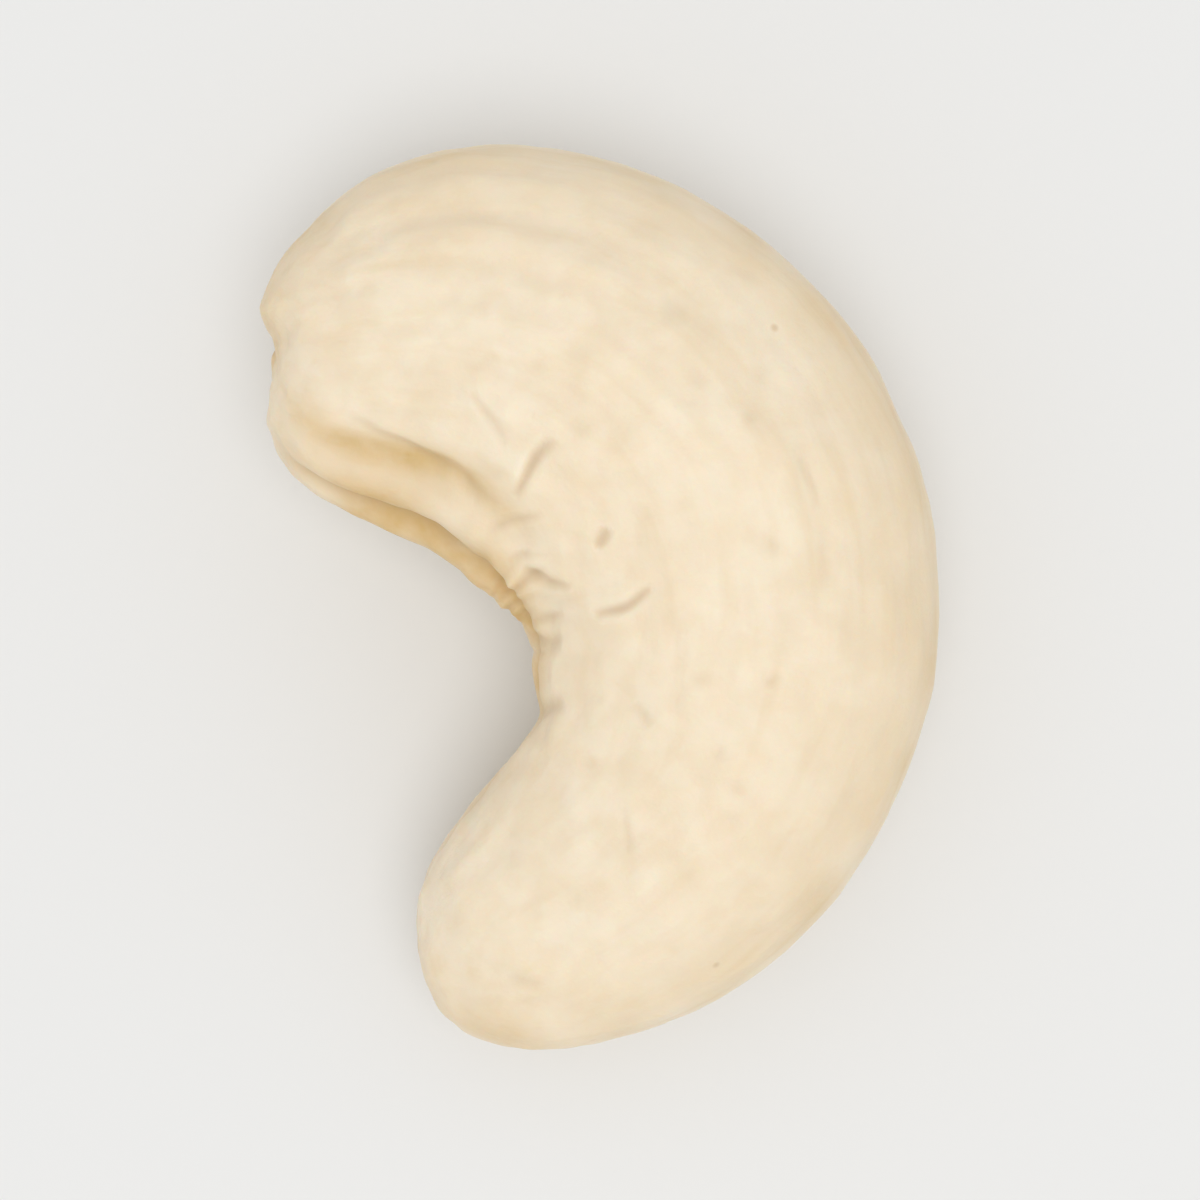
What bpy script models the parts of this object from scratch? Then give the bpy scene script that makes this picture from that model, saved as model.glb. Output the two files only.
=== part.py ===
"""One whole raw cashew kernel, lying on its cheek.

The kernel grew as one piece, so it is one solid. Its body is a fat crescent that opens towards -X: a row
of rounded sections strung along a bent spine, from the blunt end at upper left, round the bend on the
right, to the slim tip at lower left. Two seed leaves meet in the plane of the crescent. Their meeting
shows as a lipped groove along the hollow side, as a low keel along the back, and as two nicks in the
blunt end, with the small bud between them. The skin creases where the crescent bends tightest. The
underside has three low spots, worn flat, that the kernel rests on.

Lengths are metres, +Z is up, and the origin is on the ground under the middle of the kernel.
"""

import bmesh
import bpy
import numpy as np

MM = 0.001

# Size of the whole kernel, from the back of the blunt arm to the back of the slim one
LENGTH = 25.0 * MM

# Stations of the spine, in order from the blunt end to the slim tip. Each has its place in plan (x, y),
# the half-width of the body there in plan, its half-height, the clearance under it, and the turn of the
# hollow seam towards the top, in degrees.
STATION_PLACES = MM * np.array(
    [
        (-9.25, 6.7),
        (-7.0, 6.57),
        (-3.75, 6.65),
        (1.25, 4.55),
        (3.4, 0.85),
        (3.1, -3.5),
        (0.85, -6.95),
        (-1.5, -8.77),
        (-3.05, -10.2),
        (-4.2, -11.25),
    ]
)
STATION_HALF_WIDTHS = MM * np.array((3.95, 4.4, 5.48, 5.85, 5.63, 5.1, 4.4, 3.7, 3.17, 2.8))
STATION_HALF_HEIGHTS = MM * np.array((4.1, 4.4, 4.7, 4.9, 4.9, 4.6, 4.2, 3.8, 3.2, 2.6))
STATION_CLEARANCES = MM * np.array((0.9, 0.0, 0.2, 0.3, 0.0, 0.3, 0.3, -0.06, 0.4, 1.1))
STATION_SEAM_TURNS = np.array((30.0, 30.0, 28.0, 20.0, 13.0, 9.0, 5.0, 3.0, 0.0, 0.0))

# Rounding of the two ends: how far back from the end it starts, and its power, 2 being an ellipse
BLUNT_ROUNDING = (4.2 * MM, 2.6)
TIP_ROUNDING = (3.4 * MM, 2.0)

# Power of the section's outline on the back and on the hollow side, 2 being an ellipse
BACK_POWER = 2.2
HOLLOW_POWER = 2.3

# Relief along the hollow seam: height, distance from the seam and width, and the stretches of the spine
# over which it rises from nothing and thins out again
GROOVE = MM * np.array((-0.3, 0.0, 0.42, 0.3, 2.0, 24.0, 31.0))
LIP = MM * np.array((0.15, 1.0, 0.5, 0.8, 3.5, 12.0, 21.0))
VALLEY = MM * np.array((-0.26, 2.2, 0.65, 1.0, 3.5, 7.0, 13.5))

# Height and width of the keel along the back seam, and how far from the blunt end and from the tip it
# starts and is at its full height
KEEL = (0.13 * MM, 0.7 * MM)
KEEL_RISES = (0.3 * MM, 2.0 * MM)
KEEL_TIP_RISES = (0.4 * MM, 5.0 * MM)

# The blunt end: the seed leaf on the back's side stands out furthest. Below it the end is set back, most
# over the bud and less below it: (how far, and the range of y over which it begins). Two nicks part the
# bud from the seed leaves and bow round it: (y, lean towards the bud at its height, depth, width).
END_STEPS = ((0.56 * MM, 7.9 * MM, 6.9 * MM), (-0.14 * MM, 5.5 * MM, 4.6 * MM))
END_STEP_REACH = 1.4 * MM
END_NICKS = (
    (6.95 * MM, -0.35 * MM, 0.12 * MM, 0.25 * MM),
    (5.57 * MM, 0.3 * MM, 0.15 * MM, 0.25 * MM),
)
END_NICK_REACH = 0.7 * MM
BUD_HEIGHT = 1.3 * MM

# A nick where a crease runs out over the hollow side of the bend: y, depth, width, and its reach from the
# hollow seam
BEND_NICK = (-3.05 * MM, 0.45 * MM, 0.6 * MM)
BEND_NICK_REACH = 1.7 * MM

# The main creases of the upper and the lower cheek, placed in plan, in millimetres: start, end, bow to
# the left of the way from start to end, depth and width. A negative depth is a raised fold.
UPPER_CREASES = (
    ((-2.3, 2.6), (-1.1, 4.2), 0.0, 0.14, 0.28),
    ((-3.3, 5.35), (-2.2, 3.9), 0.05, 0.07, 0.28),
    ((-2.1, 0.85), (-0.6, 0.4), -0.06, 0.13, 0.28),
    ((-0.2, -0.35), (1.35, 0.3), -0.08, 0.13, 0.28),
    ((-1.95, -1.2), (-0.9, -0.9), 0.0, 0.12, 0.28),
    ((-0.4, 2.65), (2.2, 3.25), 0.12, 0.06, 0.35),
    ((-7.6, 8.75), (1.3, 8.6), 1.4, 0.1, 0.45),
)
LOWER_CREASES = (
    ((-2.4, 2.2), (-1.0, 3.3), 0.05, 0.14, 0.28),
    ((-1.6, 1.1), (0.1, 1.5), -0.08, 0.14, 0.28),
    ((-1.5, -1.0), (0.6, -1.2), 0.1, 0.13, 0.28),
    ((-7.2, 8.4), (0.6, 8.9), 1.1, 0.07, 0.45),
)

# Soft unevenness all over: (height, wavelength) of a broad and of a fine ripple, and the share of it that
# the back is free of, over this distance from the back seam
UNEVENNESS = ((0.06 * MM, 5.5 * MM), (0.02 * MM, 1.9 * MM))
BACK_SMOOTHNESS = 0.6
BACK_SMOOTH_REACH = 3.0 * MM

# Depth that the three low spots are worn flat
REST_WEAR = 0.12 * MM

# Rings along the spine and points round each ring. Rings crowd towards the ends and points towards the
# hollow seam, by these shares of their even spacing.
RINGS = 96
RING_POINTS = 60
RING_CROWDING = 0.55
POINT_CROWDING = 0.45

# Waves in each ripple
WAVES = 24

# Colour of the kernel
CREAM = (0.85, 0.74, 0.57, 1.0)

KNOTS = np.concatenate([[0], np.cumsum(np.linalg.norm(np.diff(STATION_PLACES, axis=0), axis=1))])
SPINE_LENGTH = KNOTS[-1]


def spine(values, s):
    """Natural cubic spline through the station values, at distances s along the spine.

    The second derivatives m solve h0*m0 + 2*(h0 + h1)*m1 + h1*m2 = 6*(slope1 - slope0), with m = 0 at
    both ends, and each span is the cubic that has them.
    """
    span = np.diff(KNOTS)
    slope = np.diff(values) / span
    matrix = np.diag(2 * (span[:-1] + span[1:])) + np.diag(span[1:-1], 1) + np.diag(span[1:-1], -1)
    second = np.zeros(len(KNOTS))
    second[1:-1] = np.linalg.solve(matrix, 6 * np.diff(slope))
    i = np.clip(np.searchsorted(KNOTS, s) - 1, 0, len(span) - 1)
    after = s - KNOTS[i]
    before = KNOTS[i + 1] - s
    h = span[i]
    curved = (second[i] * before**3 + second[i + 1] * after**3) / (6 * h)
    start = (values[i] / h - second[i] * h / 6) * before
    end = (values[i + 1] / h - second[i + 1] * h / 6) * after
    return curved + start + end


def bell(distance, width):
    """1 at no distance, falling to 0.37 at the width: exp(-(distance / width)^2)."""
    return np.exp(-((distance / width) ** 2))


def step(value, low, high):
    """0 below low, 1 above high, and 3t^2 - 2t^3 between."""
    t = np.clip((value - low) / (high - low), 0, 1)
    return t * t * (3 - 2 * t)


def ripple(places, wavelength, seed):
    """Smooth noise of unit spread: sine waves that run in random directions, all about one length."""
    draw = np.random.default_rng(seed)
    directions = draw.normal(size=(WAVES, 3))
    directions /= np.linalg.norm(directions, axis=1)[:, None]
    lengths = wavelength * draw.uniform(0.75, 1.35, WAVES)
    phases = draw.uniform(0, 2 * np.pi, WAVES)
    waves = np.sin(places @ (directions / lengths[:, None]).T * 2 * np.pi + phases)
    return waves.sum(axis=1) * np.sqrt(2 / WAVES)


def end_rounding(s):
    """Share of the full section at s: 1 away from the ends, and (1 - short^n)^(1/n) over each end."""
    share = np.ones_like(s)
    for distance, (reach, power) in ((s, BLUNT_ROUNDING), (SPINE_LENGTH - s, TIP_ROUNDING)):
        short = 1 - np.clip(distance / reach, 0, 1)
        share = share * (1 - short**power) ** (1 / power)
    return share


def body(s, turn):
    """Point of the smooth body at s along the spine and at a turn round it.

    The turn is 0 on the back seam, pi on the hollow one and positive on the upper cheek. The section is
    |across / half-width|^n + |up / half-height|^n = 1, with n running from the back's power to the
    hollow's.
    """
    nudge = 0.05 * MM
    x, y = (spine(STATION_PLACES[:, axis], s) for axis in (0, 1))
    ahead_x = spine(STATION_PLACES[:, 0], s + nudge) - spine(STATION_PLACES[:, 0], s - nudge)
    ahead_y = spine(STATION_PLACES[:, 1], s + nudge) - spine(STATION_PLACES[:, 1], s - nudge)
    ahead = np.hypot(ahead_x, ahead_y)

    angle = turn - np.radians(spine(STATION_SEAM_TURNS, s)) * (1 - np.cos(turn)) / 2
    power = BACK_POWER + (HOLLOW_POWER - BACK_POWER) * (1 - np.cos(angle)) / 2
    reach = (np.abs(np.cos(angle)) ** power + np.abs(np.sin(angle)) ** power) ** (-1 / power)
    reach = reach * end_rounding(s)
    across = spine(STATION_HALF_WIDTHS, s) * reach * np.cos(angle)
    z = spine(STATION_CLEARANCES, s) + spine(STATION_HALF_HEIGHTS, s) * (1 + reach * np.sin(angle))
    return np.stack([x - across * ahead_y / ahead, y + across * ahead_x / ahead, z], axis=1)


def seam_relief(s, from_hollow, from_back):
    """Height of the groove, lips and valleys of the hollow seam, and of the keel of the back one."""
    strength = step(s, *KEEL_RISES) * step(SPINE_LENGTH - s, *KEEL_TIP_RISES)
    relief = KEEL[0] * strength * bell(from_back, KEEL[1])
    for height, distance, width, rises_from, rises_to, thins_from, thins_to in (GROOVE, LIP, VALLEY):
        strength = step(s, rises_from, rises_to) * step(-s, -thins_to, -thins_from)
        relief += height * strength * bell(from_hollow - distance, width)
    return relief


def blunt_end_relief(s, y, z):
    """Depth of the steps and nicks of the blunt end, as a negative height."""
    steps = sum(how_far * step(-y, -top, -low) for how_far, top, low in END_STEPS)
    above_bud = (z - STATION_CLEARANCES[0] - STATION_HALF_HEIGHTS[0]) / BUD_HEIGHT
    nicks = sum(
        depth * bell(y - place - lean * above_bud**2, width) for place, lean, depth, width in END_NICKS
    )
    nicks = nicks * bell(s, END_NICK_REACH) * bell(above_bud, 1.0)
    return -steps * bell(s, END_STEP_REACH) - nicks


def bend_nick_relief(s, y, from_hollow):
    """Depth of the nick in the hollow side of the bend, as a negative height."""
    place, depth, width = BEND_NICK
    past_blunt_end = s > 2 * BLUNT_ROUNDING[0]
    return -depth * bell(y - place, width) * bell(from_hollow, BEND_NICK_REACH) * past_blunt_end


def crease(places, start, end, bow, depth, width):
    """Height of one crease: a bell of the distance, in plan, from a bowed line.

    With u running from 0 to 1 along the line, the bowed line lies bow * 4u(1 - u) to its left, and the
    crease is deepest in its middle, by the root of 4u(1 - u).
    """
    start, end = np.array(start) * MM, np.array(end) * MM
    length = np.linalg.norm(end - start)
    along = (end - start) / length
    away = places[:, :2] - start
    u = (away @ along) / length
    inside = np.clip(u, 0, 1)
    sideways = away @ np.array((-along[1], along[0])) - bow * MM * 4 * inside * (1 - inside)
    distance = np.hypot(sideways, (u - inside) * length)
    return -depth * MM * np.sqrt(4 * inside * (1 - inside)) * bell(distance, width * MM)


def kernel_points(s, turn, normals_of):
    """Points of the finished skin: the smooth body, raised along its normals by the relief."""
    places = body(s, turn)
    full = end_rounding(s)
    radius = spine(STATION_HALF_HEIGHTS, s) * full
    from_hollow = (np.pi - np.abs(turn)) * radius
    from_back = np.abs(turn) * radius
    upper = np.clip(0.5 + 1.5 * np.sin(turn), 0, 1)

    height = np.zeros_like(s)
    for seed, (rise, wavelength) in enumerate(UNEVENNESS, start=1):
        height += rise * ripple(places, wavelength, seed)
    height *= 1 - BACK_SMOOTHNESS * bell(from_back, BACK_SMOOTH_REACH)
    height += seam_relief(s, from_hollow, from_back)
    height += blunt_end_relief(s, places[:, 1], places[:, 2])
    height += bend_nick_relief(s, places[:, 1], from_hollow)
    height += upper * sum(crease(places, *row) for row in UPPER_CREASES)
    height += (1 - upper) * sum(crease(places, *row) for row in LOWER_CREASES)

    places = places + height[:, None] * normals_of(places)
    places[:, 2] = np.maximum(places[:, 2] - REST_WEAR, 0)
    places[:, :2] -= (places[:, :2].min(axis=0) + places[:, :2].max(axis=0)) / 2
    return places * LENGTH / np.ptp(places[:, 1])


def kernel_mesh():
    """The kernel's skin, from a UV sphere whose poles become the blunt end and the slim tip."""
    ball = bmesh.new()
    bmesh.ops.create_uvsphere(ball, u_segments=RING_POINTS, v_segments=RINGS, radius=1.0)
    bmesh.ops.triangulate(ball, faces=ball.faces)
    mesh = bpy.data.meshes.new("cashew_kernel")
    ball.to_mesh(mesh)
    ball.free()

    x, y, z = np.array([vertex.co for vertex in mesh.vertices]).T
    latitude = np.arccos(np.clip(z, -1, 1)) / np.pi
    s = SPINE_LENGTH * (latitude - RING_CROWDING * np.sin(2 * np.pi * latitude) / (2 * np.pi))
    longitude = np.arctan2(-y, x)
    turn = longitude + POINT_CROWDING * np.sin(longitude)

    def normals_of(places):
        mesh.vertices.foreach_set("co", places.ravel())
        mesh.update()
        return np.array([vertex.normal for vertex in mesh.vertices])

    mesh.vertices.foreach_set("co", kernel_points(s, turn, normals_of).ravel())
    mesh.update()
    mesh.shade_smooth()
    return mesh


def cream_material():
    """Raw kernel: pale cream, waxy but not shiny."""
    material = bpy.data.materials.new("kernel")
    material.use_nodes = True
    shader = material.node_tree.nodes["Principled BSDF"]
    shader.inputs["Base Color"].default_value = CREAM
    shader.inputs["Roughness"].default_value = 0.5
    shader.inputs["Metallic"].default_value = 0.0
    return material


for old in list(bpy.data.objects):
    bpy.data.objects.remove(old)

kernel = bpy.data.objects.new("cashew_kernel", kernel_mesh())
kernel.data.materials.append(cream_material())
bpy.context.scene.collection.objects.link(kernel)
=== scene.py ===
"""A whole raw cashew kernel on a pale table, seen from straight above in soft light."""

import bpy
import numpy as np
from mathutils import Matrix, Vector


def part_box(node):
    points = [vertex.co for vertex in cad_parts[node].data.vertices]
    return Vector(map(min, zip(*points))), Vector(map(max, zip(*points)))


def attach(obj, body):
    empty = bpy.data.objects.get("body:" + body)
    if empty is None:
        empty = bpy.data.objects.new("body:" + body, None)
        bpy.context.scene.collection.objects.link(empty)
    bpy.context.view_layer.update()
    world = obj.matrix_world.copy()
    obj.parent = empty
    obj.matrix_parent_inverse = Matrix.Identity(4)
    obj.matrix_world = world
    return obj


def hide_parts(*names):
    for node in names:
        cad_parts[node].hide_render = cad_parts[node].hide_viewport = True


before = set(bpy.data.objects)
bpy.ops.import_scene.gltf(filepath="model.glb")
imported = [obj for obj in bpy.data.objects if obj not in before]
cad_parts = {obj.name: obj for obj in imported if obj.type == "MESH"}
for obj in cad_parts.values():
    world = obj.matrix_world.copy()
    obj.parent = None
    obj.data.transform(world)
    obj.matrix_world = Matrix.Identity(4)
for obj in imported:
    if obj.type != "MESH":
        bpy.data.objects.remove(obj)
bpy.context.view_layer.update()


# Camera
# The photograph looks straight down on the kernel, with the mouth of the crescent to the left. A long
# lens keeps both arms at their true width, and the kernel's length takes up most of the picture.
LENGTH_SHARE = 0.76
LENS = 100.0
kernel_low, kernel_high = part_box("cashew_kernel")
kernel_size = kernel_high - kernel_low

camera = bpy.data.objects.new("camera", bpy.data.cameras.new("camera"))
camera.data.lens = LENS
camera.data.clip_start = 0.01
view_width = kernel_size.y / LENGTH_SHARE
camera_distance = view_width * LENS / camera.data.sensor_width
camera.location = (0.0, 0.0, kernel_size.z / 2 + camera_distance)
bpy.context.scene.collection.objects.link(camera)
bpy.context.scene.camera = camera


# Kernel
# The seed itself, peeled of its husk and skin: two plump seed leaves and a small bud, grown together in
# the plane of the crescent. It is one piece of pale, waxy flesh. Its surface is a grid of rings strung
# along a bent spine, from the blunt end at upper left, round the bend, to the slim tip at lower left,
# and every mark on it is raised or sunk by a formula.
MM = 0.001

# Stations of the spine: place in plan, half-width in plan, half-height, clearance under it, and turn of
# the hollow seam towards the top, in degrees
STATION_PLACES = MM * np.array(
    [
        (-9.25, 6.7),
        (-7.0, 6.57),
        (-3.75, 6.65),
        (1.25, 4.55),
        (3.4, 0.85),
        (3.1, -3.5),
        (0.85, -6.95),
        (-1.5, -8.77),
        (-3.05, -10.2),
        (-4.2, -11.25),
    ]
)
STATION_HALF_WIDTHS = MM * np.array((3.95, 4.4, 5.48, 5.85, 5.63, 5.1, 4.4, 3.7, 3.17, 2.8))
STATION_HALF_HEIGHTS = MM * np.array((4.1, 4.4, 4.7, 4.9, 4.9, 4.6, 4.2, 3.8, 3.2, 2.6))
STATION_CLEARANCES = MM * np.array((0.9, 0.0, 0.2, 0.3, 0.0, 0.3, 0.3, -0.06, 0.4, 1.1))
STATION_SEAM_TURNS = np.array((30.0, 30.0, 28.0, 20.0, 13.0, 9.0, 5.0, 3.0, 0.0, 0.0))
KNOTS = np.concatenate([[0], np.cumsum(np.linalg.norm(np.diff(STATION_PLACES, axis=0), axis=1))])
SPINE_LENGTH = KNOTS[-1]


def spine(values, s):
    """Natural cubic spline through the station values, at distances s along the spine.

    The second derivatives m solve h0*m0 + 2*(h0 + h1)*m1 + h1*m2 = 6*(slope1 - slope0), with m = 0 at
    both ends, and each span is the cubic that has them.
    """
    span = np.diff(KNOTS)
    slope = np.diff(values) / span
    matrix = np.diag(2 * (span[:-1] + span[1:])) + np.diag(span[1:-1], 1) + np.diag(span[1:-1], -1)
    second = np.zeros(len(KNOTS))
    second[1:-1] = np.linalg.solve(matrix, 6 * np.diff(slope))
    i = np.clip(np.searchsorted(KNOTS, s) - 1, 0, len(span) - 1)
    after = s - KNOTS[i]
    before = KNOTS[i + 1] - s
    h = span[i]
    curved = (second[i] * before**3 + second[i + 1] * after**3) / (6 * h)
    start = (values[i] / h - second[i] * h / 6) * before
    end = (values[i + 1] / h - second[i + 1] * h / 6) * after
    return curved + start + end


# Rounding of the two ends: how far back from the end it starts, and its power, 2 being an ellipse
BLUNT_ROUNDING = (4.2 * MM, 2.6)
TIP_ROUNDING = (3.4 * MM, 2.0)


def end_rounding(s):
    """Share of the full section at s: 1 away from the ends, and (1 - short^n)^(1/n) over each end."""
    share = np.ones_like(s)
    for distance, (reach, power) in ((s, BLUNT_ROUNDING), (SPINE_LENGTH - s, TIP_ROUNDING)):
        short = 1 - np.clip(distance / reach, 0, 1)
        share = share * (1 - short**power) ** (1 / power)
    return share


# Power of the section's outline on the back and on the hollow side, 2 being an ellipse
BACK_POWER = 2.2
HOLLOW_POWER = 2.3


def body(s, turn):
    """Point of the smooth body at s along the spine and at a turn round it.

    The turn is 0 on the back seam, pi on the hollow one and positive on the upper cheek. The section is
    |across / half-width|^n + |up / half-height|^n = 1, with n running from the back's power to the
    hollow's.
    """
    nudge = 0.05 * MM
    x, y = (spine(STATION_PLACES[:, axis], s) for axis in (0, 1))
    ahead_x = spine(STATION_PLACES[:, 0], s + nudge) - spine(STATION_PLACES[:, 0], s - nudge)
    ahead_y = spine(STATION_PLACES[:, 1], s + nudge) - spine(STATION_PLACES[:, 1], s - nudge)
    ahead = np.hypot(ahead_x, ahead_y)
    angle = turn - np.radians(spine(STATION_SEAM_TURNS, s)) * (1 - np.cos(turn)) / 2
    power = BACK_POWER + (HOLLOW_POWER - BACK_POWER) * (1 - np.cos(angle)) / 2
    reach = (np.abs(np.cos(angle)) ** power + np.abs(np.sin(angle)) ** power) ** (-1 / power)
    reach = reach * end_rounding(s)
    across = spine(STATION_HALF_WIDTHS, s) * reach * np.cos(angle)
    z = spine(STATION_CLEARANCES, s) + spine(STATION_HALF_HEIGHTS, s) * (1 + reach * np.sin(angle))
    return np.stack([x - across * ahead_y / ahead, y + across * ahead_x / ahead, z], axis=-1)


# Rows of the grid over the blunt end, along the spine and over the tip. Rows crowd towards each end's
# pole by a power, and the points of each row crowd towards the hollow seam.
BLUNT_ROWS = 54
MIDDLE_ROWS = 224
TIP_ROWS = 50
POLE_CROWDING = 1.25
ROW_POINTS = 300
POINT_CROWDING = 0.3


def end_rows(row_count, reach):
    """Distances from an end, out to its reach: reach * (1 - cos q), with q growing as a power."""
    quarter = np.pi / 2 * (np.arange(1, row_count + 1) / row_count) ** POLE_CROWDING
    return reach * (1 - np.cos(quarter))


blunt_s = end_rows(BLUNT_ROWS, BLUNT_ROUNDING[0])
tip_s = SPINE_LENGTH - end_rows(TIP_ROWS, TIP_ROUNDING[0])[::-1]
middle_s = np.linspace(blunt_s[-1], tip_s[0], MIDDLE_ROWS + 2)[1:-1]
even = np.linspace(-np.pi, np.pi, ROW_POINTS, endpoint=False)
rows = np.concatenate([blunt_s, middle_s, tip_s])
s, turn = np.meshgrid(rows, even + POINT_CROWDING * np.sin(even), indexing="ij")

# How quickly the upper cheek's marks give way to the lower one's at the two seams
CHEEK_CHANGE = 1.5

# The smooth body, and for each of its points the share of the full section, the distances over the skin
# from the two seams, the place it would have if the spine were straight, and how much it is of the upper
# cheek
smooth = body(s, turn)
full = end_rounding(s)
girth = spine(STATION_HALF_HEIGHTS, s)
from_hollow = (np.pi - np.abs(turn)) * girth * full
from_back = np.abs(turn) * girth * full
straight = np.stack([s, girth * full * np.cos(turn), girth * full * np.sin(turn)], axis=-1)
upper = np.clip(0.5 + CHEEK_CHANGE * np.sin(turn), 0, 1)


def bell(distance, width):
    """1 at no distance, falling to 0.37 at the width: exp(-(distance / width)^2)."""
    return np.exp(-((distance / width) ** 2))


# Number of waves in a ripple, and the range of their lengths as shares of its own
WAVES = 24
WAVE_LENGTHS = (0.75, 1.35)


def ripple(places, wavelength, seed):
    """Smooth noise of unit spread: sine waves that run in random directions, all about one length."""
    draw = np.random.default_rng(seed)
    directions = draw.normal(size=(WAVES, 3))
    directions /= np.linalg.norm(directions, axis=1)[:, None]
    lengths = wavelength * draw.uniform(*WAVE_LENGTHS, WAVES)
    phases = draw.uniform(0, 2 * np.pi, WAVES)
    waves = np.sin(places @ (directions / lengths[:, None]).T * 2 * np.pi + phases)
    return waves.sum(axis=-1) * np.sqrt(2 / WAVES)


# Relief along the hollow seam: height, distance from the seam, width, and the stretches of the spine
# over which it rises from nothing and thins out again, of the groove, the lip and the valley. It wavers
# by a (share of its height, wavelength).
HOLLOW_SEAM = MM * np.array(
    [
        (-0.3, 0.0, 0.42, 0.3, 2.0, 24.0, 31.0),
        (0.15, 1.0, 0.5, 0.8, 3.5, 12.0, 21.0),
        (-0.26, 2.2, 0.65, 1.0, 3.5, 7.0, 13.5),
    ]
)
SEAM_WAVER = (0.16, 2.4 * MM)

# Relief along the back seam, (height, width): a low keel with a fine line down its top. The ranges are how
# far from the blunt end, and from the tip, it starts and is at its full height.
BACK_SEAM = ((0.13 * MM, 0.7 * MM), (-0.05 * MM, 0.12 * MM))
BACK_SEAM_RISES = (0.3 * MM, 2.0 * MM)
BACK_SEAM_TIP_RISES = (0.4 * MM, 5.0 * MM)


def step(value, low, high):
    """0 below low, 1 above high, and 3t^2 - 2t^3 between."""
    t = np.clip((value - low) / (high - low), 0, 1)
    return t * t * (3 - 2 * t)


seams = np.zeros_like(s)
for rise, away, width, rises_from, rises_to, thins_from, thins_to in HOLLOW_SEAM:
    strength = step(s, rises_from, rises_to) * step(-s, -thins_to, -thins_from)
    seams += rise * strength * bell(from_hollow - away, width)
seams *= 1 + SEAM_WAVER[0] * ripple(straight, SEAM_WAVER[1], seed=11)
strength = step(s, *BACK_SEAM_RISES) * step(SPINE_LENGTH - s, *BACK_SEAM_TIP_RISES)
seams += strength * sum(rise * bell(from_back, width) for rise, width in BACK_SEAM)

# The blunt end: the seed leaf on the back's side stands out furthest. Below it the end is set back, most
# over the bud and less below it: (how far, and the range of y over which it begins). Two nicks part the
# bud from the seed leaves, bow round it and fade out over its height: (y, bow, depth, width).
END_STEPS = ((0.56 * MM, 7.9 * MM, 6.9 * MM), (-0.14 * MM, 5.5 * MM, 4.6 * MM))
END_STEP_REACH = 1.4 * MM
END_NICKS = (
    (6.95 * MM, -0.35 * MM, 0.1 * MM, 0.16 * MM),
    (5.57 * MM, 0.3 * MM, 0.13 * MM, 0.15 * MM),
)
END_NICK_REACH = 0.7 * MM
BUD_HEIGHT = 1.3 * MM

# Nicks where creases run out over the hollow side of the bend, which starts past the blunt end's own
# face: (y, depth, width)
BEND_NICKS = ((-1.3 * MM, 0.08 * MM, 0.14 * MM), (-3.05 * MM, 0.45 * MM, 0.6 * MM))
BEND_NICK_REACH = 1.7 * MM
PAST_BLUNT_END = 2 * BLUNT_ROUNDING[0]

smooth_y = smooth[..., 1]
set_back = sum(how_far * step(-smooth_y, -top, -low) for how_far, top, low in END_STEPS)
set_back = set_back * bell(s, END_STEP_REACH)
above_bud = (smooth[..., 2] - STATION_CLEARANCES[0] - STATION_HALF_HEIGHTS[0]) / BUD_HEIGHT
end_nick = sum(
    depth * bell(smooth_y - y - bow * above_bud**2, width) for y, bow, depth, width in END_NICKS
)
end_nick = end_nick * bell(s, END_NICK_REACH) * bell(above_bud, 1.0)
bend_nick = sum(depth * bell(smooth_y - y, width) for y, depth, width in BEND_NICKS)
bend_nick = bend_nick * bell(from_hollow, BEND_NICK_REACH) * (s > PAST_BLUNT_END)

# Creases and folds, placed in plan where each cheek shows them, in millimetres: (start, end, bow to the
# left of the way from start to end, depth, width). A negative depth is a raised fold. They waver by a
# ripple of this (size, wavelength).
CREASE_WAVER = (0.045 * MM, 1.5 * MM)
UPPER_CREASES = (
    ((-2.2, 2.7), (-1.15, 4.15), 0.0, 0.13, 0.17),
    ((-3.25, 5.3), (-2.3, 3.95), 0.05, 0.05, 0.13),
    ((-3.4, 5.75), (-2.5, 6.45), 0.0, 0.03, 0.2),
    ((-1.95, 0.85), (-0.6, 0.4), -0.06, 0.12, 0.15),
    ((-0.15, -0.32), (1.3, 0.25), -0.08, 0.12, 0.15),
    ((0.0, 1.45), (0.2, 1.95), 0.0, 0.1, 0.17),
    ((-0.55, 1.7), (-0.2, 2.3), 0.0, -0.05, 0.25),
    ((-0.4, 2.65), (2.2, 3.25), 0.12, 0.05, 0.32),
    ((0.9, -2.65), (1.35, -3.2), 0.0, 0.05, 0.16),
    ((0.7, -5.2), (0.75, -6.5), 0.05, 0.04, 0.13),
    ((-2.35, -9.85), (-1.35, -9.95), 0.0, 0.035, 0.22),
    ((5.1, 3.7), (5.5, 2.45), 0.05, 0.04, 0.14),
    ((5.75, 1.5), (5.9, 0.4), 0.0, 0.03, 0.16),
    ((1.5, 7.45), (2.4, 7.35), 0.0, 0.03, 0.28),
    ((-2.75, 1.75), (-1.35, 2.3), 0.1, 0.06, 0.14),
    ((-2.3, 1.05), (-1.3, 1.35), -0.05, 0.05, 0.12),
    ((-1.75, -0.4), (-0.9, -0.35), 0.0, 0.06, 0.16),
    ((-1.9, -1.15), (-1.0, -0.95), 0.0, 0.1, 0.22),
    ((-1.9, -2.95), (-0.9, -2.6), 0.05, 0.09, 0.22),
    ((-6.5, 4.75), (-2.6, 2.4), 0.17, 0.08, 0.17),
    ((-7.6, 8.75), (1.3, 8.6), 1.4, 0.1, 0.4),
    ((-7.2, 8.2), (0.9, 7.9), 1.35, -0.05, 0.4),
)
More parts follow.
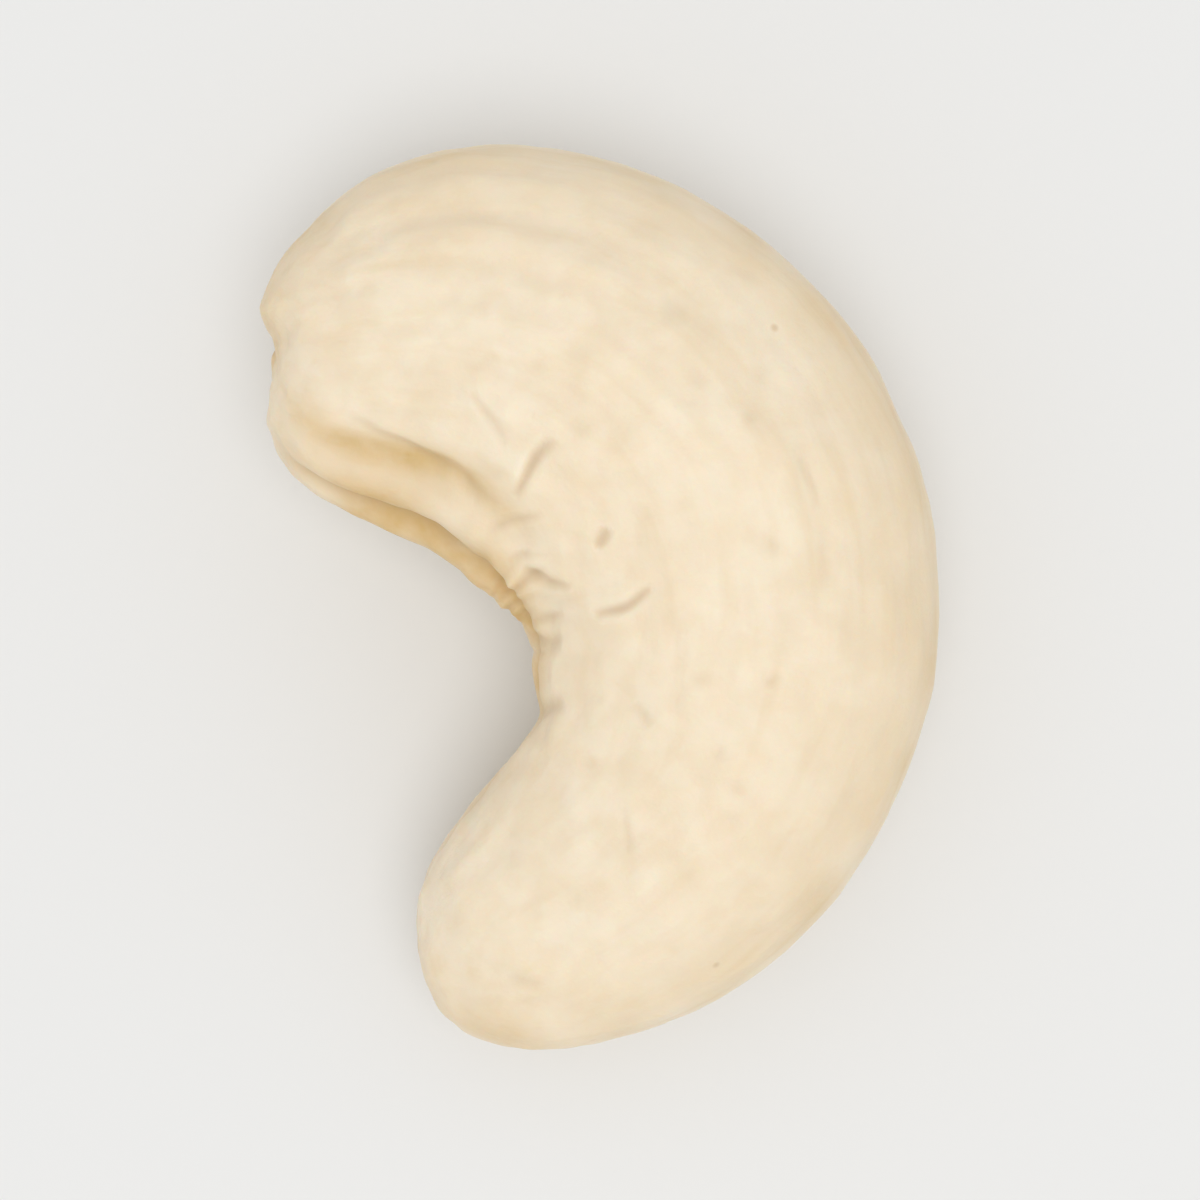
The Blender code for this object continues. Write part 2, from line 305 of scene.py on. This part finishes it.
LOWER_CREASES = (
    ((-2.4, 2.2), (-1.0, 3.3), 0.05, 0.12, 0.18),
    ((-2.9, 3.6), (-2.0, 5.0), 0.08, 0.06, 0.15),
    ((-1.6, 1.1), (0.1, 1.5), -0.08, 0.12, 0.17),
    ((-1.5, 0.2), (-0.5, 0.1), 0.0, 0.08, 0.16),
    ((-1.4, -1.0), (0.6, -1.2), 0.1, 0.1, 0.16),
    ((-1.5, -2.6), (-0.4, -3.0), 0.0, 0.1, 0.2),
    ((0.6, 2.6), (1.9, 3.4), 0.0, 0.05, 0.25),
    ((-0.2, -4.6), (0.5, -5.6), 0.0, 0.05, 0.16),
    ((5.2, -1.6), (4.9, -3.0), 0.05, 0.04, 0.15),
    ((-7.2, 8.4), (0.6, 8.9), 1.1, 0.06, 0.45),
)

# Height of the low shoulders of a crease, as a share of its depth, and how many widths off they stand
SHOULDER = 0.18
SHOULDER_WIDTHS_OFF = 2


def crease(places, start, end, bow, depth, width):
    """Height of one crease: a bell of the distance from a bowed line, with a low shoulder on each side.

    With u running from 0 to 1 along the line, the bowed line lies bow * 4u(1 - u) to its left, and the
    crease is deepest in its middle, by the root of 4u(1 - u).
    """
    start, end = np.array(start) * MM, np.array(end) * MM
    length = np.linalg.norm(end - start)
    along = (end - start) / length
    away = places[..., :2] - start
    u = (away @ along) / length
    left = away @ np.array((-along[1], along[0]))
    inside = np.clip(u, 0, 1)
    sideways = left - bow * MM * 4 * inside * (1 - inside)
    distance = np.hypot(sideways, (u - inside) * length)
    taper = np.sqrt(4 * inside * (1 - inside))
    shoulders = SHOULDER * bell(distance - SHOULDER_WIDTHS_OFF * width * MM, width * MM)
    return -depth * MM * taper * (bell(distance, width * MM) - shoulders)


waver = np.stack([ripple(smooth, CREASE_WAVER[1], seed) for seed in (61, 62, 63)], axis=-1)
wavered = smooth + CREASE_WAVER[0] * waver
creases = upper * sum(crease(wavered, *row) for row in UPPER_CREASES)
creases = creases + (1 - upper) * sum(crease(wavered, *row) for row in LOWER_CREASES)

# Small pits, most of them shallow: the marked ones of the upper cheek, (x, y, depth, radius) in
# millimetres, and loose ones drawn at random, all over but for some rows at each end
MARKED_PITS = (
    (3.85, 4.7, 0.035, 0.22),
    (4.1, 5.85, 0.03, 0.25),
    (4.45, -2.0, 0.045, 0.18),
    (2.65, -2.0, 0.035, 0.22),
    (4.5, 1.45, 0.03, 0.2),
    (3.05, -3.9, 0.035, 0.2),
    (3.6, -4.7, 0.03, 0.2),
    (-1.5, 6.0, 0.03, 0.2),
    (1.85, -6.6, 0.03, 0.25),
)
LOOSE_PITS = 90
LOOSE_PIT_DEPTHS = (0.008 * MM, 0.03 * MM)
LOOSE_PIT_RADII = (0.12 * MM, 0.3 * MM)
PITLESS_ROWS = 20

pits = np.zeros_like(s)
for x, y, depth, radius in MARKED_PITS:
    away = np.hypot(wavered[..., 0] - x * MM, wavered[..., 1] - y * MM)
    pits -= upper * depth * MM * bell(away, radius * MM)
draw = np.random.default_rng(21)
for _ in range(LOOSE_PITS):
    middle = smooth[draw.integers(PITLESS_ROWS, len(rows) - PITLESS_ROWS), draw.integers(ROW_POINTS)]
    away = np.linalg.norm(wavered - middle, axis=-1)
    pits -= draw.uniform(*LOOSE_PIT_DEPTHS) * bell(away, draw.uniform(*LOOSE_PIT_RADII))

# Unevenness all over: (height, wavelength) of a broad, a middling and a fine ripple, and of a ripple
# drawn out lengthwise by its stretch
UNEVENNESS = ((0.06 * MM, 5.5 * MM), (0.026 * MM, 1.9 * MM), (0.01 * MM, 0.8 * MM))
STREAKS = ((0.010 * MM, 0.9 * MM), (0.006 * MM, 0.5 * MM))
STREAK_STRETCH = 5.0

# Share of the unevenness that the back is free of, and how far from the back seam
BACK_SMOOTHNESS = 0.6
BACK_SMOOTH_REACH = 3.0 * MM

# Crinkles: a tight ripple across the hollow side of the bend, (height, wavelength), drawn out across the
# spine by its stretch, and the (middle, width) of where it lies along the spine and from the hollow seam
CRINKLES = (0.028 * MM, 1.5 * MM)
CRINKLE_STRETCH = 2.2
CRINKLES_ALONG = (13.5 * MM, 4.0 * MM)
CRINKLES_DOWN = (1.2 * MM, 2.4 * MM)

uneven = np.zeros_like(s)
for seed, (rise, wavelength) in enumerate(UNEVENNESS, start=1):
    uneven += rise * ripple(smooth, wavelength, seed)
uneven *= 1 - BACK_SMOOTHNESS * bell(from_back, BACK_SMOOTH_REACH)
drawn_out = straight / np.array((STREAK_STRETCH, 1, 1))
for seed, (rise, wavelength) in enumerate(STREAKS, start=31):
    uneven += rise * ripple(drawn_out, wavelength, seed)
gathered = straight / np.array((1, CRINKLE_STRETCH, CRINKLE_STRETCH))
crinkles = CRINKLES[0] * ripple(gathered, CRINKLES[1], seed=41)
crinkles = crinkles * bell(s - CRINKLES_ALONG[0], CRINKLES_ALONG[1])
crinkles = crinkles * bell(from_hollow - CRINKLES_DOWN[0], CRINKLES_DOWN[1])


def grid_normals(places):
    """Outward unit normals of a grid of rows round the spine, by central differences both ways."""
    along = np.gradient(places, axis=0)
    round_it = np.roll(places, -1, axis=1) - np.roll(places, 1, axis=1)
    normals = np.cross(round_it, along)
    return normals / np.linalg.norm(normals, axis=-1, keepdims=True)


# Depth that the three low spots are worn flat
REST_WEAR = 0.12 * MM

# The body with every mark on it, worn flat where it rests, centred in plan and brought to its true length
height = seams + crinkles - set_back - end_nick - bend_nick + creases + pits + uneven
places = smooth + height[..., None] * grid_normals(smooth)
places[..., 2] = np.maximum(places[..., 2] - REST_WEAR, 0)
plan = places[..., :2].reshape(-1, 2)
places[..., :2] -= (plan.min(axis=0) + plan.max(axis=0)) / 2
places *= kernel_size.y / np.ptp(plan[:, 1])


def closed_tube(name, places):
    """Mesh of a grid of rows, its ends closed by a fan to the middle of the first and the last row."""
    row_count, point_count = places.shape[:2]
    poles = np.stack([places[0].mean(axis=0), places[-1].mean(axis=0)])
    points = np.concatenate([places.reshape(-1, 3), poles])
    number = np.arange(row_count * point_count).reshape(row_count, point_count)
    beside = np.roll(number, -1, axis=1)
    quads = np.stack([number[:-1], beside[:-1], beside[1:], number[1:]], axis=-1).reshape(-1, 4)
    first, last = row_count * point_count, row_count * point_count + 1
    first_fan = np.stack([beside[0], number[0], np.full(point_count, first)], axis=-1)
    last_fan = np.stack([number[-1], beside[-1], np.full(point_count, last)], axis=-1)
    mesh = bpy.data.meshes.new(name)
    mesh.from_pydata(points, [], quads.tolist() + first_fan.tolist() + last_fan.tolist())
    mesh.shade_smooth()
    return mesh


def give_attribute(mesh, name, values):
    """Puts one number, or one vector, on each point of the grid, and the mean of an end row on its pole."""
    kind, field, width = ("FLOAT", "value", 1) if values.ndim == 2 else ("FLOAT_VECTOR", "vector", 3)
    poles = np.stack([values[0].mean(axis=0), values[-1].mean(axis=0)]).reshape(2, width)
    data = np.concatenate([values.reshape(-1, width), poles]).astype(np.float32)
    mesh.attributes.new(name, kind, "POINT").data.foreach_set(field, data.ravel())


# How gold the flesh is painted, from 0 to 1, as bands of an (amount, width). Part is the flesh's own gold
# and part painted shade: along the hollow seam, under it and over it, with more painted shade under it;
# painted shade in the valley at this distance from it; along the back, its gold with the painted shade of
# its rim, less a painted highlight down the keel; and on the blunt end
UNDER_SEAM_GOLD_AND_SHADE = (1.2, 2.0 * MM)
OVER_SEAM_GOLD_AND_SHADE = (1.0, 1.15 * MM)
VALLEY_SHADE = (0.8, 0.52 * MM)
VALLEY_SHADE_PLACE = 2.25 * MM
BACK_GOLD_AND_SHADE = (0.52, 3.2 * MM)
KEEL_HIGHLIGHT = (-0.45, 0.8 * MM)
END_GOLD = (0.12, 1.2 * MM)

# Stretches of the spine over which the gold and painted shade of the hollow side start and thin out, and
# over which the painted shade of the valley thins
GOLD_STARTS = (0.0, 3.0 * MM)
GOLD_THINS = (12.0 * MM, 32.0 * MM)
VALLEY_SHADE_THINS = (5.0 * MM, 11.0 * MM)

# Patches in the gold: (share by which they vary it, wavelength)
GOLD_PATCHES = (0.25, 2.5 * MM)

seam_bands = zip(UNDER_SEAM_GOLD_AND_SHADE, OVER_SEAM_GOLD_AND_SHADE)
seam_amount, seam_width = (under + (over - under) * upper for under, over in seam_bands)
valley_shade = VALLEY_SHADE[0] * bell(from_hollow - VALLEY_SHADE_PLACE, VALLEY_SHADE[1])
valley_shade = valley_shade * (1 - step(s, *VALLEY_SHADE_THINS))
gold_and_shade = seam_amount * bell(from_hollow, seam_width) + valley_shade
gold_and_shade = gold_and_shade * step(s, *GOLD_STARTS) * (1 - step(s, *GOLD_THINS))
for distance, (amount, width) in ((from_back, BACK_GOLD_AND_SHADE), (from_back, KEEL_HIGHLIGHT), (s, END_GOLD)):
    gold_and_shade = gold_and_shade + amount * bell(distance, width)
gold_and_shade = gold_and_shade * (1 + GOLD_PATCHES[0] * ripple(smooth, GOLD_PATCHES[1], seed=51))
gold_and_shade = np.clip(gold_and_shade, 0, 1)

# How deep in a crease, groove or pit a point is, from 0 to 1, which sets how much shade is painted there.
# Creases wider than this don't count, and the groove counts half, within this distance of the seam.
CREASE_FULL_DEPTH = 0.16 * MM
NARROW = 0.3
GROOVE_COUNTS = (0.5, 0.9 * MM)

narrow = creases - upper * sum(crease(wavered, *row) for row in UPPER_CREASES if row[4] > NARROW)
groove = GROOVE_COUNTS[0] * np.minimum(seams, 0) * bell(from_hollow, GROOVE_COUNTS[1])
sunk = np.clip(-(narrow + pits + crinkles + groove - end_nick) / CREASE_FULL_DEPTH, 0, 1)

kernel = bpy.data.objects.new("kernel", closed_tube("kernel", places))
# The gold mask carries both the flesh's own gold and painted shade at the rims, valley and under the seam
give_attribute(kernel.data, "gold_and_shade", gold_and_shade)
give_attribute(kernel.data, "sunk", sunk)
give_attribute(kernel.data, "straight", straight)
bpy.context.scene.collection.objects.link(kernel)

# Flesh colours. The gold paints both the flesh's own gold and painted shade at the rims, in the valley and
# under the hollow seam; the umber paints both real brown specks and painted shade in creases, grooves and
# pits.
CREAM = (0.85, 0.715, 0.52, 1.0)
PALE_CREAM = (0.895, 0.785, 0.61, 1.0)
GOLD_AND_SHADE_COLOUR = (0.66, 0.44, 0.16, 1.0)
UMBER_SPECKS_AND_SHADE = (0.55, 0.37, 0.17, 1.0)

# Noise in the flesh, (cells to the metre, detail), and how far the fibres are drawn out along the spine
PATCHES = (190.0, 3.0)
MOTTLE = (950.0, 4.0)
FIBRES = (1600.0, 3.0)
FIBRE_STRETCH = 5.0
GRAIN = (7000.0, 2.0)

# What the noise does to the colour and the gloss: a range of the noise, and what its two ends give
PALE_BY_PATCHES = (0.35, 0.68, 0.0, 0.6)
PALE_BY_MOTTLE = (0.42, 0.62, 0.0, 0.55)
GOLD_BY_MOTTLE = (0.3, 0.7, 0.55, 1.0)
GOLD_BY_FIBRES = (0.5, 0.8, 0.0, 0.16)
ROUGHNESS_BY_NOISE = (0.3, 0.7, 0.42, 0.6)
# Share of umber painted as shade at the bottom of creases, grooves and pits
SHADE_WHERE_SUNK = 0.6

# Brown specks: cells to the metre, how a speck fades out from its middle, and the few that show
SPECK_CELLS = 620.0
SPECK_FADES = (0.03, 0.09, 1.0, 0.0)
SPECK_SHOWS = (0.72, 0.8, 0.0, 0.4)

# Relief too fine for the mesh: how much of each noise is in it, its strength and its height
GRAIN_RELIEF = 0.5
FIBRE_RELIEF = 0.7
MOTTLE_RELIEF = 0.6
FINE_RELIEF_STRENGTH = 0.6
FINE_RELIEF_HEIGHT = 0.05 * MM

# Light that enters the waxy flesh and leaves it again: its share, and how far red, green and blue go
INNER_LIGHT = 0.5
INNER_LIGHT_REACH = 0.9 * MM
INNER_LIGHT_BY_COLOUR = (1.0, 0.6, 0.35)
WAX_REFRACTION = 1.45

flesh = bpy.data.materials.new("raw kernel")
flesh.use_nodes = True
nodes, links = flesh.node_tree.nodes, flesh.node_tree.links
shader = nodes["Principled BSDF"]


def noise(vector, scale, detail):
    """Output of a noise texture, read at the vector."""
    texture = nodes.new("ShaderNodeTexNoise")
    texture.inputs["Scale"].default_value = scale
    texture.inputs["Detail"].default_value = detail
    links.new(vector, texture.inputs["Vector"])
    return texture.outputs["Fac"]


def ranged(value, low, high, to_low, to_high):
    """The value, with low to high stretched to to_low to to_high and held there."""
    node = nodes.new("ShaderNodeMapRange")
    for name, number in zip(("From Min", "From Max", "To Min", "To Max"), (low, high, to_low, to_high)):
        node.inputs[name].default_value = number
    links.new(value, node.inputs["Value"])
    return node.outputs["Result"]


def blended(factor, first, second):
    """Colour between two, each a colour or an output, by a factor that is an output.

    A mix node's two colours are its inputs 6 and 7, and its mixed colour is output 2.
    """
    node = nodes.new("ShaderNodeMix")
    node.data_type = "RGBA"
    links.new(factor, node.inputs["Factor"])
    for colour, socket in ((first, node.inputs[6]), (second, node.inputs[7])):
        if isinstance(colour, tuple):
            socket.default_value = colour
        else:
            links.new(colour, socket)
    return node.outputs[2]


def combined(operation, first, second):
    """Result of a sum or product of two, each a number or an output."""
    node = nodes.new("ShaderNodeMath")
    node.operation = operation
    for value, socket in ((first, node.inputs[0]), (second, node.inputs[1])):
        if isinstance(value, (int, float)):
            socket.default_value = value
        else:
            links.new(value, socket)
    return node.outputs["Value"]


def attribute(name, output):
    """Output of a mesh attribute."""
    node = nodes.new("ShaderNodeAttribute")
    node.attribute_name = name
    return node.outputs[output]


object_place = nodes.new("ShaderNodeTexCoord").outputs["Object"]
lengthwise = nodes.new("ShaderNodeMapping")
lengthwise.inputs["Scale"].default_value = (1 / FIBRE_STRETCH, 1.0, 1.0)
links.new(attribute("straight", "Vector"), lengthwise.inputs["Vector"])

patches = noise(object_place, *PATCHES)
mottle = noise(object_place, *MOTTLE)
fibres = noise(lengthwise.outputs["Vector"], *FIBRES)
grain = noise(object_place, *GRAIN)

pale_amount = combined("ADD", ranged(patches, *PALE_BY_PATCHES), ranged(mottle, *PALE_BY_MOTTLE))
colour = blended(pale_amount, CREAM, PALE_CREAM)
# Gold, partly the flesh's own and partly painted shade at the rims, in the valley and under the hollow seam
gold_and_shade_share = combined("MULTIPLY", attribute("gold_and_shade", "Fac"), ranged(mottle, *GOLD_BY_MOTTLE))
gold_and_shade_share = combined("ADD", gold_and_shade_share, ranged(fibres, *GOLD_BY_FIBRES))
colour = blended(gold_and_shade_share, colour, GOLD_AND_SHADE_COLOUR)
# Painted shade in creases, grooves and pits
colour = blended(combined("MULTIPLY", attribute("sunk", "Fac"), SHADE_WHERE_SUNK), colour, UMBER_SPECKS_AND_SHADE)

specks = nodes.new("ShaderNodeTexVoronoi")
specks.inputs["Scale"].default_value = SPECK_CELLS
links.new(object_place, specks.inputs["Vector"])
speck_chance = nodes.new("ShaderNodeSeparateColor")
links.new(specks.outputs["Color"], speck_chance.inputs["Color"])
near_speck = ranged(specks.outputs["Distance"], *SPECK_FADES)
speck = combined("MULTIPLY", near_speck, ranged(speck_chance.outputs["Red"], *SPECK_SHOWS))
colour = blended(speck, colour, UMBER_SPECKS_AND_SHADE)
links.new(colour, shader.inputs["Base Color"])

fine_and_broad = combined("MULTIPLY", combined("ADD", grain, mottle), 0.5)
links.new(ranged(fine_and_broad, *ROUGHNESS_BY_NOISE), shader.inputs["Roughness"])

grain_relief = combined("MULTIPLY", grain, GRAIN_RELIEF)
surface = combined("ADD", grain_relief, combined("MULTIPLY", fibres, FIBRE_RELIEF))
surface = combined("ADD", surface, combined("MULTIPLY", mottle, MOTTLE_RELIEF))
bump = nodes.new("ShaderNodeBump")
bump.inputs["Strength"].default_value = FINE_RELIEF_STRENGTH
bump.inputs["Distance"].default_value = FINE_RELIEF_HEIGHT
links.new(surface, bump.inputs["Height"])
links.new(bump.outputs["Normal"], shader.inputs["Normal"])

shader.inputs["Subsurface Weight"].default_value = INNER_LIGHT
shader.inputs["Subsurface Scale"].default_value = INNER_LIGHT_REACH
shader.inputs["Subsurface Radius"].default_value = INNER_LIGHT_BY_COLOUR
shader.inputs["IOR"].default_value = WAX_REFRACTION
kernel.data.materials.append(flesh)

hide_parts("cashew_kernel")
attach(kernel, "root")


# Table and light
# A plain pale table, far wider than the view, under one wide soft lamp nearly overhead and an even pale
# sky. Neither is part of the kernel.
TABLE_SIDE = 3.0
TABLE_ROUGHNESS = 0.7
PALE = (0.80, 0.80, 0.79, 1.0)
LAMP_WIDTH = 0.36
LAMP_WATTS = 0.93
LAMP_PLACE = (0.03, -0.1, 0.53)
SKY_STRENGTH = 0.76
WHITE = (1.0, 1.0, 1.0, 1.0)

table = bpy.data.objects.new("table", bpy.data.meshes.new("table"))
side = TABLE_SIDE / 2
corners = [(-side, -side, 0), (side, -side, 0), (side, side, 0), (-side, side, 0)]
table.data.from_pydata(corners, [], [(0, 1, 2, 3)])
bpy.context.scene.collection.objects.link(table)
pale = bpy.data.materials.new("pale table")
pale.use_nodes = True
pale.node_tree.nodes["Principled BSDF"].inputs["Base Color"].default_value = PALE
pale.node_tree.nodes["Principled BSDF"].inputs["Roughness"].default_value = TABLE_ROUGHNESS
table.data.materials.append(pale)

lamp = bpy.data.objects.new("soft lamp", bpy.data.lights.new("soft lamp", "AREA"))
lamp.data.shape = "DISK"
lamp.data.size = LAMP_WIDTH
lamp.data.energy = LAMP_WATTS
lamp.location = LAMP_PLACE
lamp.rotation_euler = (-lamp.location).to_track_quat("-Z", "Y").to_euler()
bpy.context.scene.collection.objects.link(lamp)

sky = bpy.data.worlds.new("pale sky")
sky.use_nodes = True
sky.node_tree.nodes["Background"].inputs["Color"].default_value = WHITE
sky.node_tree.nodes["Background"].inputs["Strength"].default_value = SKY_STRENGTH
bpy.context.scene.world = sky
bpy.context.scene.view_settings.view_transform = "Standard"
